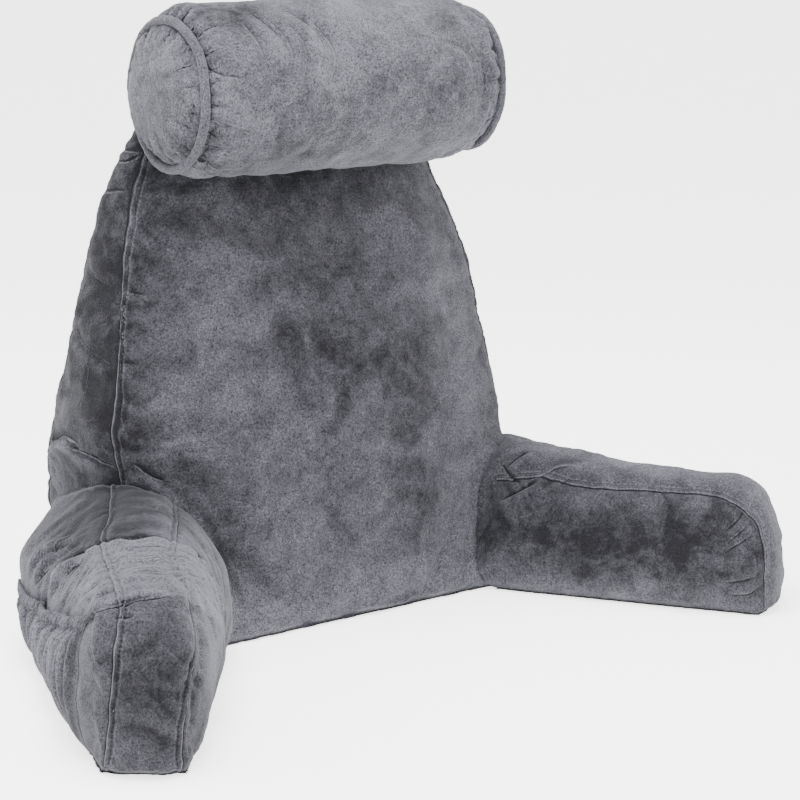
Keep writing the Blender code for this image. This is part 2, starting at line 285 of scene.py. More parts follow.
    def seam(self, points, seed, flip=1.0, pitch=0.03):
        """A topstitched seam: its allowance is stitched down on the flip side, and uneven
        puckers run off from it, one for each pitch."""
        line = smooth_line(points, 0.004)
        dice = np.random.default_rng(seed)
        index, s, part, length = self.near(line, 0.045)
        s = s * flip
        at = part * length
        pucker = 0.0016
        wave = 0.0006 * np.sin(at * 95 + seed) + 0.0004 * np.sin(at * 230 + 2 * seed)
        s = s + wave
        lifts = -0.0022 * hump((s + 0.0012) / 0.0034)            # the join
        lifts += 0.0011 * hump((s - 0.0026) / 0.0026)            # the allowance
        lifts -= 0.0011 * hump((s - SEAM_GAP - 0.0006) / 0.003)  # the stitched row
        lifts += 0.0012 * (hump((s - 0.018) / 0.009) + hump((s + 0.014) / 0.009))
        for _ in range(int(length / pitch)):
            spot = dice.uniform(0, length)
            slant = dice.uniform(-0.9, 0.9)
            deep = pucker * dice.uniform(0.3, 1.0)
            wide = dice.uniform(0.0025, 0.005)
            reach = dice.uniform(0.008, 0.024)
            one_side = dice.choice((-1.0, 0.0, 1.0))
            mask = hump((at - spot - slant * s) / wide) * hump((np.abs(s) - 0.004) / reach)
            mask *= np.where(s * one_side < 0, 0.15, 1.0)
            lifts -= deep * mask
            # painted shade in each pucker
            self.nap_and_painted_light[index] -= 0.08 * mask
        self.lift[index] += lifts
        closer = np.abs(s) < np.abs(self.across[index])
        chosen = index[closer]
        self.across[chosen] = s[closer]
        self.along[chosen] = at[closer]
        return line, flip

    def tuck_under(self):
        """Round the lower edge, where the cover turns in under the filling."""
        height, inward = 0.014, 0.006
        low = np.clip(1 - self.co[:, 2] / height, 0, 1) ** 2
        flat = self.no * np.array((1, 1, 0))
        size = np.linalg.norm(flat, axis=1)
        weight = np.where(size > 0.35, low * inward, 0)
        self.co -= flat / np.maximum(size, 1e-6)[:, None] * weight[:, None]
        # painted shade along the foot, where the cover meets the floor
        self.nap_and_painted_light -= 0.05 * np.clip(1 - self.co[:, 2] / 0.005, 0, 1)

    def finish(self):
        """Put the points on the mesh, and what the plush reads into its attributes."""
        self.refresh()
        self.co[:, 2] = np.maximum(self.co[:, 2], 0.0)
        mesh = self.piece.data
        place_points(mesh, self.co)
        self.across = np.clip(self.across, -FAR, FAR)
        self.crease = np.clip(self.crease, -FAR, FAR)
        for name, values in (("nap_and_painted_light", self.nap_and_painted_light), ("across", self.across), ("along", self.along),
                             ("crease", self.crease), ("sharp", self.sharp)):
            layer = mesh.attributes.new(name, "FLOAT", "POINT")
            layer.data.foreach_set("value", values.astype(np.float32))
        mesh.update()


# ---------------------------------------------------------------- filled cloth

def evaluated_mesh(thing):
    depsgraph = bpy.context.evaluated_depsgraph_get()
    return bpy.data.meshes.new_from_object(thing.evaluated_get(depsgraph))


def apply_modifiers(thing):
    mesh = evaluated_mesh(thing)
    thing.modifiers.clear()
    thing.data = mesh


def add_object(name, data):
    thing = bpy.data.objects.new(name, data)
    bpy.context.scene.collection.objects.link(thing)
    return thing


def add_mesh(name, verts, faces):
    mesh = bpy.data.meshes.new(name)
    mesh.from_pydata([tuple(v) for v in verts], [], faces)
    mesh.shade_smooth()
    return add_object(name, mesh)


def merge_points(mesh, distance):
    shape = bmesh.new()
    shape.from_mesh(mesh)
    bmesh.ops.remove_doubles(shape, verts=shape.verts, dist=distance)
    shape.to_mesh(mesh)
    shape.free()


def face_outwards(mesh):
    shape = bmesh.new()
    shape.from_mesh(mesh)
    bmesh.ops.recalc_face_normals(shape, faces=shape.faces)
    shape.to_mesh(mesh)
    shape.free()


def remeshed_copy(name, node, voxel):
    """A closed, evenly divided copy of a CAD solid."""
    mesh = nodes[node].data.copy()
    mesh.name = name
    merge_points(mesh, 1e-5)
    thing = add_object(name, mesh)
    remesh = thing.modifiers.new("even", "REMESH")
    remesh.mode = "VOXEL"
    remesh.voxel_size = voxel
    remesh.use_smooth_shade = True
    soft = thing.modifiers.new("soft", "SMOOTH")
    soft.iterations = 3
    apply_modifiers(thing)
    thing.data.materials.clear()
    return thing


def coordinates(mesh, kind="co"):
    """The points' places, or their normals."""
    co = np.zeros(len(mesh.vertices) * 3, np.float32)
    mesh.vertices.foreach_get(kind, co)
    return co.reshape(-1, 3).astype(float)


def place_points(mesh, co):
    mesh.vertices.foreach_set("co", co.astype(np.float32).ravel())


def surface_tree(node):
    shape = bmesh.new()
    shape.from_mesh(nodes[node].data)
    tree = BVHTree.FromBMesh(shape)
    shape.free()
    return tree


def held_weights(co, lines, neighbours, seam_hold, floor_hold):
    """How firmly each point is held: on its seams, on the floor and against neighbours."""
    held = np.zeros(len(co))
    for line in lines:
        fine = smooth_line(line, 0.005)
        for start in range(0, len(fine), 8):
            part = fine[start:start + 9]
            low, high = part.min(0) - 0.02, part.max(0) + 0.02
            index = np.nonzero(((co > low) & (co < high)).all(1))[0]
            if len(index):
                gap = np.linalg.norm(co[index, None] - part[None], axis=2).min(1)
                held[index] = np.maximum(held[index], seam_hold * hump(gap / 0.007))
    held = np.maximum(held, np.where(co[:, 2] < 0.003, floor_hold, 0.0))
    for tree in neighbours:
        for i in np.nonzero(held < 1)[0]:
            if tree.find_nearest(Vector(co[i]), 0.007)[0] is not None:
                held[i] = 1.0
    return held


def fill(piece, held, pressure, slack, cap):
    """Blow the cover out from inside while its seams hold it, with some slack cloth. No
    point moves further than the cap."""
    steps, shrink, stiff = 20, 0.003, 14.0
    co = coordinates(piece.data)
    start = co - coordinates(piece.data, "normal") * (shrink * (1 - held))[:, None]
    place_points(piece.data, start)
    group = piece.vertex_groups.new(name="held")
    for level in np.unique(np.round(held, 2)):
        if level > 0:
            chosen = np.nonzero(np.round(held, 2) == level)[0].tolist()
            group.add(chosen, float(level), "REPLACE")
    cloth = piece.modifiers.new("filling", "CLOTH")
    rules = cloth.settings
    rules.quality = 6
    rules.mass = 0.25
    rules.air_damping = 2.0
    rules.tension_stiffness = stiff
    rules.compression_stiffness = stiff
    rules.shear_stiffness = stiff * 0.4
    rules.bending_stiffness = 0.4
    rules.use_pressure = True
    rules.uniform_pressure_force = pressure
    rules.effector_weights.gravity = 0.0
    rules.vertex_group_mass = "held"
    rules.pin_stiffness = 1.0
    rules.vertex_group_shrink = "held"
    rules.shrink_min = -slack
    rules.shrink_max = 0.0
    cloth.collision_settings.use_collision = False
    cloth.point_cache.frame_start = 1
    cloth.point_cache.frame_end = steps
    for step in range(1, steps + 1):
        bpy.context.scene.frame_set(step)
    moved = coordinates(evaluated_mesh(piece))
    piece.modifiers.clear()
    piece.vertex_groups.clear()
    bpy.context.scene.frame_set(1)
    away = moved - co
    reach = np.linalg.norm(away, axis=1)
    away *= np.minimum(1, cap / np.maximum(reach, 1e-9))[:, None]
    co = co + away
    co[:, 2] = np.maximum(co[:, 2], 0.0)
    place_points(piece.data, co)
    finer = piece.modifiers.new("finer", "SUBSURF")
    finer.levels = finer.render_levels = 1
    apply_modifiers(piece)
    piece.data.shade_smooth()
    return Skin(piece)


# ---------------------------------------------------------------- sewing lines

def back_edge(front):
    """The front or rear seam of the back, up one side, over the top and down."""
    half = [np.array((w, h)) for w, h in BACK_EDGE]
    outline = [(-w, h) for w, h in half] + [(w, h) for w, h in half[-2::-1]]
    heights, depths = zip(*BACK_REAR)
    line = []
    for x, z in outline:
        if front:
            step = FOOT_STEP * (1 - exp(-z / FOOT_RISE))
            sag = exp(-((z - SAG_HEIGHT) / SAG_REACH) ** 2)
            point = (x * (1 + SAG_SPREAD * sag), BACK_LEAN * z + step + SAG_DEPTH * sag, z)
        else:
            spread = 1 + REAR_SPREAD * (1 - z / BACK_TOP) ** 3
            point = (x * spread, float(np.interp(z, heights, depths)), z)
        line.append(np.array(point) + SHIFT)
    return line


# Seams over each arm, from its root to the floor at its tip
LEFT_INNER_SEAM = mm((-205, 30, 172), (-235, -20, 170), (-278, -88, 165), (-307, -136, 164),
                     (-330, -190, 161), (-345, -232, 142), (-360, -260, 118), (-376, -278, 92),
                     (-387, -289, 60), (-391, -290, 30), (-392, -287, 2))
LEFT_OUTER_SEAM = mm((-262, 85, 182), (-285, 45, 178), (-312, 0, 173), (-348, -52, 163),
                     (-385, -140, 162), (-417, -217, 163), (-432, -243, 143), (-444, -252, 106),
                     (-448, -251, 70), (-451, -248, 35), (-453, -243, 2))
RIGHT_INNER_SEAM = mm((215, 10, 128), (245, -37, 137), (272, -89, 133), (308, -146, 137),
                      (342, -202, 139), (362, -232, 135), (380, -256, 114), (385, -267, 80),
                      (386, -271, 40), (388, -272, 2))
RIGHT_OUTER_SEAM = mm((285, 60, 155), (315, 0, 150), (350, -60, 145), (385, -130, 142),
                      (420, -195, 140), (436, -222, 128), (447, -232, 100), (450, -232, 60),
                      (453, -226, 2))


def ring_line(end, radius):
    """The seam round one end of the roll."""
    turn = np.linspace(0, 2 * pi, 41)
    return [ROLL_CENTRE + np.array((end, radius * cos(t), radius * sin(t)))
            for t in turn]


# ---------------------------------------------------------------- shader words

def operation(kind, swapped=False):
    """The Math node behind one of Python's operators."""
    def work(self, other):
        pair = (other, self) if swapped else (self, other)
        return self.maths(kind, *pair)
    return work


class Value:
    """A node socket that Python arithmetic can be written on."""

    def __init__(self, book, socket):
        self.book = book
        self.socket = socket

    def maths(self, kind, *others):
        return self.book.node("ShaderNodeMath", {"operation": kind}, dict(enumerate(others)))

    __add__ = __radd__ = operation("ADD")
    __sub__ = operation("SUBTRACT")
    __rsub__ = operation("SUBTRACT", swapped=True)
    __mul__ = __rmul__ = operation("MULTIPLY")
    __truediv__ = operation("DIVIDE")

    def __neg__(self):
        return self * -1.0

    def sine(self):
        return self.maths("SINE", self)

    def limit(self, low=0.0, high=1.0):
        return self.maths("MINIMUM", self.maths("MAXIMUM", self, low), high)

    def bell(self, middle, width):
        """1 at the middle, falling away smoothly on both sides."""
        off = (self - middle) / width
        return self.maths("EXPONENT", -(off * off))


class NodeBook:
    """Builds the nodes of one tree."""

    def __init__(self, tree):
        self.tree = tree

    def node(self, kind, settings=None, values=None, out=0):
        made = self.tree.nodes.new(kind)
        for key, setting in (settings or {}).items():
            setattr(made, key, setting)
        for key, value in (values or {}).items():
            self.put(made.inputs[key], value)
        return Value(self, made.outputs[out])

    def put(self, socket, value):
        if isinstance(value, Value):
            self.tree.links.new(value.socket, socket)
        else:
            socket.default_value = value


class ShaderBook(NodeBook):
    """Builds one material."""

    def __init__(self, name):
        self.material = bpy.data.materials.new(name)
        self.material.use_nodes = True
        super().__init__(self.material.node_tree)
        self.surface = self.tree.nodes["Principled BSDF"]

    def place(self):
        return self.node("ShaderNodeTexCoord", out="Object")

    def attribute(self, name):
        return self.node("ShaderNodeAttribute", {"attribute_name": name}, out="Fac")

    def noise(self, where, scale, detail, rough=0.55, distort=0.0):
        return self.node("ShaderNodeTexNoise", {}, {
            "Vector": where, "Scale": scale, "Detail": detail, "Roughness": rough,
            "Distortion": distort})

    def mix(self, factor, a, b):
        """A colour between two colours."""
        return self.node("ShaderNodeMix", {"data_type": "RGBA"}, {0: factor, 6: a, 7: b}, 2)

    def bump(self, height, strength, distance):
        return self.node("ShaderNodeBump", {}, {
            "Height": height, "Strength": strength, "Distance": distance})

    def finish(self, **sockets):
        """Set the surface's sockets, named with _ for each space."""
        for name, value in sockets.items():
            self.put(self.surface.inputs[name.replace("_", " ")], value)
        return self.material


DARK = (0.003, 0.003, 0.004, 1.0)  # pile that leans away from the light
LIGHT = (0.112, 0.112, 0.13, 1.0)  # pile that leans towards it


def velour(name, level=0.0, contrast=1.0, sewn=True):
    """Short plush: a soft pile that lies in brushed patches, with light edges, and with the
    painted light and shade that each piece carries in its attributes.
    """
    book = ShaderBook(name)
    where = book.place()
    broad = book.noise(where, 5.5, 2.0, 0.5, 0.5)
    patch = book.noise(where, 16.0, 4.0, 0.62, 1.1)
    stroke = book.noise(where, 70.0, 3.0, 0.65, 0.8)
    grain = book.noise(where, 430.0, 2.0, 0.7)
    pile = book.noise(where, 950.0, 1.0, 0.8)
    tone = 0.4 + level + (broad - 0.5) * (0.75 * contrast)
    tone = tone + (patch - 0.5) * (0.74 * contrast) + (stroke - 0.5) * (0.5 * contrast)
    # painted light and shade that each piece carries, with its pile's lie
    tone = tone + book.attribute("nap_and_painted_light")
    height = pile * 0.9 + grain * 0.9 + stroke * 0.2
    if sewn:
        across = book.attribute("across")
        along = book.attribute("along")
        crease = book.attribute("crease")
        sharp = book.attribute("sharp")
        tug = (along * (2 * pi / STITCH_PITCH)).sine() * 0.3 + 0.7
        # painted shade and a painted highlight along each join, painted shade in the stitched
        # row, and a painted highlight beside it
        shadow = across.bell(-0.001, 0.001)
        edge_highlight = across.bell(0.001, 0.0009)
        row = across.bell(SEAM_GAP, 0.001) * tug
        beside = across.bell(SEAM_GAP + 0.0022, 0.001)
        # painted shade in the bottom of each sharp fold, and a painted highlight on the lip
        # beside it
        line = crease.bell(-0.0009, 0.0013) * sharp
        lip = crease.bell(0.0015, 0.0012) * sharp
        tone = tone - shadow * 0.32 + edge_highlight * 0.36 - row * 0.17 + beside * 0.16
        tone = tone - line * 0.46 + lip * 0.5
        height = height - shadow * 1.4 + edge_highlight * 0.5 - row * 1.0 - line * 1.6 + lip * 0.4
    speckle = 1.0 + (grain - 0.5) * 2.9 + (pile - 0.5) * 2.4
    colour = book.mix((tone.limit(0.06, 1.0) * speckle).limit(), DARK, LIGHT)
    return book.finish(Base_Color=colour, Roughness=0.92, Specular_IOR_Level=0.1,
                       Sheen_Weight=0.15, Sheen_Roughness=0.34,
                       Sheen_Tint=(0.86, 0.87, 0.95, 1.0),
                       Normal=book.bump(height, 0.8, 0.0012))


cover_plush = velour("plush_cover")
roll_plush = velour("plush_roll", level=0.08, contrast=1.4)
cord_plush = velour("plush_cord", level=0.1, contrast=0.6, sewn=False)
pocket_plush = velour("plush_pocket", level=0.06, sewn=False)


def thread_material():
    book = ShaderBook("sewing_thread")
    twist = book.noise(book.place(), 900.0, 2.0)
    colour = book.mix(twist, (0.035, 0.035, 0.04, 1.0), (0.1, 0.1, 0.115, 1.0))
    return book.finish(Base_Color=colour, Roughness=0.75, Normal=book.bump(twist, 0.4, 0.0004))


thread = thread_material()


# ---------------------------------------------------------------- the back

back_front = back_edge(front=True)
back_rear = back_edge(front=False)
back = remeshed_copy("back_pad", "back_cushion", BACK_VOXEL)
back_hold = held_weights(
    coordinates(back.data), [back_front, back_rear],
    [surface_tree("arm_left"), surface_tree("arm_right"), surface_tree("neck_roll")], 1.0, 0.9)
skin = fill(back, back_hold, pressure=3.0, slack=0.035, cap=0.01)
above_foot = np.clip(skin.co[:, 2] / 0.05, 0, 1)
skin.lift += 0.0022 * waves(skin.co, 0.075, 3) * above_foot
skin.lift += 0.001 * waves(skin.co, 0.03, 4) * above_foot
skin.refresh()
# the strip is a little fuller beside the roll
skin.lift += 0.008 * patch_of(skin.co, (-0.205, 0.185, 0.475), (0.05, 0.09, 0.085))
skin.refresh()
# the edge strip is pinched where the left arm is sewn on
SIDE = (-1, 0, 0)
skin.folds(
    (mm((-262, 232, 200), (-268, 178, 218), (-266, 132, 217)),
        0.005, 0.0055, 0.0025, 1.3, SIDE),
    (mm((-262, 240, 178), (-268, 197, 201), (-267, 145, 214), (-262, 118, 208)),
        -0.0045, 0.006, 0.0, 0.3, SIDE),
    (mm((-268, 150, 212), (-263, 114, 204), (-257, 86, 199)), 0.0062, 0.0045, 0.003, 1.3),
    (mm((-243, 66, 205), (-225, 62, 190), (-212, 56, 184)), 0.0032, 0.0045, 0.0018, 1.1),
    # soft folds that run off the front seam
    (mm((-212, 185, 485), (-209, 155, 490), (-202, 141, 492)),
        0.0007, 0.0035, 0.0005, 1.6, SIDE),
    (mm((-242, 175, 402), (-238, 145, 395), (-229, 116, 389)),
        0.0034, 0.007, -0.0012, 0.5, SIDE),
    (mm((-258, 190, 338), (-255, 156, 325), (-252, 124, 317), (-245, 99, 308)),
        0.003, 0.006, 0.0012, 0.5, SIDE),
    (mm((-259, 206, 262), (-262, 139, 270), (-252, 98, 269)),
        0.0026, 0.0075, 0.0012, 0.2, SIDE))
skin.fold(mm((-227, 111, 390), (-218, 107, 386), (-201, 99, 382)), 0.0016, 0.0035, lip=0.0008,
          ends=0.5)
skin.fold(mm((-239, 94, 312), (-225, 88, 310)), 0.0018, 0.0035, ends=0.5)
skin.folds(
    (mm((-192, 180, 536), (-189, 157, 534), (-180, 145, 533)), 0.002, 0.004, 0.0012, 1.4),
    (mm((-200, 175, 523), (-193, 153, 522), (-182, 145, 530)), 0.002, 0.004, 0.0012, 1.4))
skin.wrinkles(mm((-245, 215, 300), (-262, 150, 345), (-245, 105, 330)),
              mm((-215, 200, 440), (-232, 150, 475), (-212, 128, 470)), 5, 0.0012, 0.008, 11,
              facing=SIDE, sharp=0.1)
skin.wrinkles(mm((-262, 230, 235), (-275, 165, 250), (-258, 100, 262)),
              mm((-258, 220, 300), (-272, 160, 330), (-252, 105, 320)), 4, 0.0014, 0.008, 12,
              facing=SIDE, sharp=0.1)
skin.wrinkles(mm((262, 230, 235), (275, 165, 250), (258, 100, 262)),
              mm((240, 200, 440), (250, 150, 475), (235, 128, 470)), 9, 0.002, 0.008, 13,
              facing=(1, 0, 0))
skin.refresh()
back_lines = [skin.seam(back_front, seed=21, pitch=0.026),
              skin.seam(back_rear, flip=-1.0, seed=22, pitch=0.026)]
FRONT = (0, -1, 0.2)
# painted light and shade: the front's pile darker in its middle and lighter to each side,
# painted light at its foot, a painted shadow under the roll, and painted shade on both sides
skin.brush((0.06, 0.03, 0.3), (0.09, 0.2, 0.2), -0.16, FRONT)
skin.brush((-0.2, 0.06, 0.36), (0.07, 0.2, 0.16), 0.08, FRONT)
skin.brush((0.2, 0.06, 0.3), (0.07, 0.2, 0.22), 0.16, FRONT)
skin.brush((0.0, 0.03, 0.02), (0.25, 0.2, 0.05), 0.2, FRONT)
skin.brush((0.0, 0.1, 0.52), (0.2, 0.1, 0.05), -0.14, FRONT)
skin.brush((-0.26, 0.14, 0.33), (0.11, 0.12, 0.36), -0.32, SIDE)
skin.brush((0.25, 0.14, 0.35), (0.08, 0.09, 0.3), -0.15, (1, 0, 0))
skin.tuck_under()
skin.finish()


# ---------------------------------------------------------------- the arms

def arm(name, node, inner_seam, outer_seam, seed):
    """One filled arm, before its folds and seams."""
    piece = remeshed_copy(name, node, ARM_VOXEL)
    hold = held_weights(coordinates(piece.data), [inner_seam, outer_seam],
                        [surface_tree("back_cushion")], 0.9, 0.9)
    made = fill(piece, hold, pressure=4.0, slack=0.04, cap=0.008)
    grounded = np.clip(made.co[:, 2] / 0.04, 0, 1)
    made.lift += 0.0016 * waves(made.co, 0.055, seed) * grounded
    made.lift += 0.0008 * waves(made.co, 0.024, seed + 1) * grounded
    made.refresh()
    return piece, made


left_arm, skin = arm("left_arm_pad", "arm_left", LEFT_INNER_SEAM, LEFT_OUTER_SEAM, 31)
# fuller above the rear end of the pocket
skin.lift += 0.01 * patch_of(skin.co, (-0.345, 0.115, 0.108), (0.05, 0.06, 0.03))
skin.smooth((-0.3, 0.03, 0.17), (0.07, 0.09, 0.06), 14, (0, 0, 1))
# cross ridge near the root, then the pressed fold across the top
OUTSIDE = (-1, 0.2, 0.2)
skin.fold(mm((-292, 130, 160), (-262, 75, 183), (-235, 45, 183)), -0.003, 0.0055, sharp=0.3)
pressed = mm((-372, 30, 115), (-347, -50, 163), (-318, -85, 172), (-281, -92, 165),
             (-240, -78, 130))
skin.fold(pressed, 0.004, 0.0036, lip=0.0032, ends=0.12, sharp=1.0)
skin.wrinkles(mm((-385, -40, 95), (-368, -72, 150), (-335, -100, 171), (-285, -104, 162),
              (-225, -70, 90)),
              mm((-412, -130, 120), (-412, -170, 158), (-384, -190, 169), (-342, -205, 163),
              (-285, -160, 100), (-262, -140, 50)), 15, 0.0016, 0.0028, 41, trim=0.3, shade=0.8,
              sharp=1.0)
# folds that run into the front end of the pocket's band
skin.folds(
    (mm((-441, -208, 143), (-430, -186, 151), (-410, -170, 161)), 0.0055, 0.004, 0.0032, 1.0),
    (mm((-438, -196, 141), (-424, -174, 147), (-402, -160, 162)), 0.0042, 0.0036, 0.0025, 0.8))
turned = mm((-440, -209, 146), (-428, -222, 159), (-416, -229, 163), (-396, -237, 165),
            (-372, -238, 161))
skin.fold(turned, 0.0042, 0.0038, lip=-0.0028, sharp=1.0, ends=0.35)
skin.folds(
    (mm((-431, -236, 152), (-415, -246, 152)), 0.0026, 0.003, 0.0012),
    # the outer panel bunches up above the pocket's band
    (mm((-341, 5, 154), (-345, 40, 137), (-348, 69, 116), (-355, 85, 88)),
        0.0065, 0.005, 0.0035, 1.0),
    (mm((-348, -14, 154), (-352, 12, 141), (-358, 40, 122), (-366, 60, 90)),
        0.0055, 0.0048, 0.0032, 1.0),
    (mm((-358, -40, 156), (-372, -15, 130), (-382, 5, 96)), 0.005, 0.005, 0.0028, 0.8),
    (mm((-372, -80, 156), (-388, -55, 128), (-396, -45, 100)), 0.0038, 0.005, 0.0025, 0.6))
skin.wrinkles(mm((-300, 85, 160), (-320, 120, 120), (-325, 150, 80)),
              mm((-385, -85, 150), (-400, -75, 120), (-405, -70, 95)), 7, 0.0018, 0.0045, 42,
              facing=OUTSIDE, sharp=0.9)
skin.wrinkles(mm((-205, -10, 150), (-215, -50, 100), (-230, -80, 50)),
              mm((-290, -150, 140), (-300, -180, 90), (-310, -200, 40)), 10, 0.0016, 0.0045, 43,
              facing=(1, -0.2, 0))
skin.refresh()
left_lines = [skin.seam(LEFT_INNER_SEAM, seed=51, pitch=0.034),
              skin.seam(LEFT_OUTER_SEAM, flip=-1.0, seed=52, pitch=0.034)]
# painted sheen: lighter and darker on either side of the pressed fold and of the turned fold
skin.nap_and_sheen_step(pressed, 0.26, 0.036)
skin.nap_and_sheen_step(mm((-440, -209, 146), (-421, -226, 161), (-388, -236, 164), (-345, -228, 148),
              (-300, -185, 105), (-275, -160, 70)), -0.16, 0.03)
# painted light on the arm's top and inner side, painted shade on its front face and at its root
# beside the back
skin.brush((-0.34, -0.15, 0.16), (0.12, 0.07, 0.06), 0.46, (0, 0, 1))
skin.brush((-0.41, -0.28, 0.08), (0.07, 0.05, 0.09), -0.16, (0, -1, 0))
skin.brush((-0.29, 0.02, 0.17), (0.1, 0.1, 0.07), -0.42, (0, 0, 1))
skin.brush((-0.25, -0.11, 0.09), (0.11, 0.13, 0.11), 0.34, (1, -0.2, 0))
skin.tuck_under()
skin.finish()

right_arm, skin = arm("right_arm_pad", "arm_right", RIGHT_INNER_SEAM, RIGHT_OUTER_SEAM, 61)
INSIDE = (-1, -0.3, 0)
skin.smooth((0.38, -0.12, 0.15), (0.16, 0.24, 0.06), 26, (0, 0, 1))
skin.folds(
    (mm((278, -60, 152), (262, -46, 147), (245, -36, 138), (232, -26, 131)),
        -0.0024, 0.0034, 0.0, 0.7),
    (mm((241, -36, 134), (223, -23, 121), (206, -6, 106)), 0.0026, 0.0032, -0.0022, 0.7),
    (mm((258, 3, 158), (243, 6, 151), (228, 8, 141)), 0.0024, 0.0034, -0.0018, 0.7),
    (mm((228, 18, 143), (224, -4, 133), (226, -20, 128)), 0.0022, 0.003, 0.0014, 0.7))
skin.wrinkles(mm((232, -40, 120), (216, -24, 85), (208, -22, 45)),
              mm((300, -140, 122), (275, -110, 85), (255, -85, 45)), 8, 0.0014, 0.005, 71,
              facing=INSIDE, shade=0.7, sharp=0.15)
# puckers in the corner of the inner panel, at the arm's tip
for corner in (mm((369, -247, 124), (363, -243, 112), (354, -234, 99)),
               mm((374, -254, 112), (366, -248, 100), (354, -238, 86)),
               mm((377, -258, 98), (366, -248, 88), (352, -236, 76)),
               mm((380, -262, 50), (368, -252, 45), (352, -236, 43)),
               mm((381, -264, 32), (368, -252, 27), (355, -240, 26))):
    skin.fold(corner, 0.0013, 0.0024, lip=0.0009, ends=0.45, sharp=0.7)
skin.wrinkles(mm((262, 20, 160), (290, 45, 155)),
              mm((300, -60, 152), (335, -40, 145)), 5, 0.001, 0.0045, 73, facing=(0, 0, 1))
skin.refresh()
right_lines = [skin.seam(RIGHT_INNER_SEAM, flip=-1.0, seed=81, pitch=0.03),
               skin.seam(RIGHT_OUTER_SEAM, seed=82, pitch=0.034)]
# painted shade on the inner panel, painted light at its foot and on its top
skin.brush((0.29, -0.12, 0.085), (0.19, 0.22, 0.075), -0.47, INSIDE)
skin.brush((0.28, -0.11, 0.0), (0.18, 0.2, 0.03), 0.2, INSIDE)
skin.brush((0.38, -0.13, 0.15), (0.15, 0.2, 0.05), 0.26, (0, 0, 1))
skin.tuck_under()
skin.finish()


# ---------------------------------------------------------------- the neck roll

roll = remeshed_copy("roll_pad", "neck_roll", ROLL_VOXEL)
roll_rings = [ring_line(end * ROLL_HALF, SEAM_RADIUS) for end in (-1, 1)]
roll_hold = held_weights(coordinates(roll.data), roll_rings, [surface_tree("back_cushion")],
                         1.0, 0.0)
skin = fill(roll, roll_hold, pressure=4.0, slack=0.035, cap=0.006)
away = skin.co - ROLL_CENTRE
beyond = np.maximum(np.abs(away[:, 0]) - ROLL_HALF, 0)
skin.co[:, 0] -= np.sign(away[:, 0]) * beyond * CAP_FLAT
skin.refresh()
away = skin.co - ROLL_CENTRE
turn = np.arctan2(away[:, 2], away[:, 1])
radial = np.hypot(away[:, 1], away[:, 2])
skin.lift += 0.0018 * waves(skin.co, 0.06, 91) + 0.0008 * waves(skin.co, 0.024, 92)
dice = np.random.default_rng(93)
for end in (-1, 1):
    from_seam = ROLL_HALF - end * away[:, 0]  # over 0 on the barrel
    on_barrel = radial > BARREL_RADIUS
    for _ in range(62):
        spot = dice.uniform(-pi, pi)
        wide = dice.uniform(0.022, 0.045)
        deep = dice.uniform(0.001, 0.0038)
        reach = dice.uniform(0.01, 0.03)
        twist = dice.uniform(-4.0, 4.0)
        gap = (turn - spot - twist * from_seam + pi) % (2 * pi) - pi
        mask = hump(gap / wide) * np.exp(-np.abs(from_seam) / reach) * on_barrel
        mask *= from_seam > -0.002
        skin.lift -= deep * (mask - 0.02)
        # painted shade in the gather's hollow
        skin.nap_and_painted_light -= 0.12 * mask
    for _ in range(46):
        spot = dice.uniform(-pi, pi)
        wide = dice.uniform(0.03, 0.06)
        deep = dice.uniform(0.0008, 0.0032)
        reach = dice.uniform(0.01, 0.026)
        gap = (turn - spot + pi) % (2 * pi) - pi
        mask = hump(gap / wide) * np.exp(-np.abs(SEAM_RADIUS - radial) / reach)
        mask *= (from_seam < 0.004) & (radial < 0.0745)
        skin.lift -= deep * mask
        # painted shade in the dip beside the piping
        skin.nap_and_painted_light -= 0.12 * mask
    full_end = hump((from_seam - 0.022) / 0.014)
    skin.lift += 0.004 * full_end * on_barrel
    skin.lift += 0.002 * hump((radial - 0.05) / 0.018) * (from_seam < 0.0)
skin.refresh()
# crisp gathers that run off the piping, on the barrel and on the end caps
BARREL_GATHERS, CAP_GATHERS = 30, 24
for end in (-1, 1):
    for k in range(BARREL_GATHERS):
        turned_to = 2 * pi * (k + dice.uniform(-0.4, 0.4)) / BARREL_GATHERS
        run = dice.uniform(0.012, 0.034)
        lean = dice.uniform(-5.0, 5.0)
        line = []
        for x in np.linspace(0.003, run, 4):
            here = turned_to + lean * x
            reach = 0.078 + 0.25 * min(x, 0.03)
            line.append(ROLL_CENTRE + (end * (ROLL_HALF - x), reach * cos(here),
                                       reach * sin(here)))
        skin.fold(line, dice.uniform(0.0014, 0.003), 0.0028, lip=dice.choice((-1, 1)) * 0.0014,
                  ends=0.45, sharp=dice.uniform(0.7, 1.5), facing=line[0] - ROLL_CENTRE)
    for k in range(CAP_GATHERS):
        turned_to = 2 * pi * (k + dice.uniform(-0.4, 0.4)) / CAP_GATHERS
        run = dice.uniform(0.012, 0.032)
        line = [ROLL_CENTRE + (end * (ROLL_HALF + 0.004), (0.073 - x) * cos(turned_to),
                               (0.073 - x) * sin(turned_to))
                for x in np.linspace(0.002, run, 4)]
        skin.fold(line, dice.uniform(0.0012, 0.0026), 0.0028, lip=dice.choice((-1, 1)) * 0.0014,
                  ends=0.45, sharp=dice.uniform(0.6, 1.4), facing=(end, 0, 0))
skin.refresh()
skin.wrinkles(mm((-150, 45, 690), (-120, -5, 655), (-135, -18, 610)),
              mm((-60, 40, 692), (-20, -10, 640), (-60, -16, 580)), 6, 0.0022, 0.0085, 94)
skin.wrinkles(mm((100, 10, 670), (140, -12, 620), (150, 0, 560)),
              mm((160, 20, 672), (180, -5, 620), (185, 5, 560)), 3, 0.0012, 0.008, 95)
# painted light on the roll's upper front
skin.brush((-0.05, -0.02, 0.66), (0.12, 0.1, 0.03), 0.1)
skin.finish()


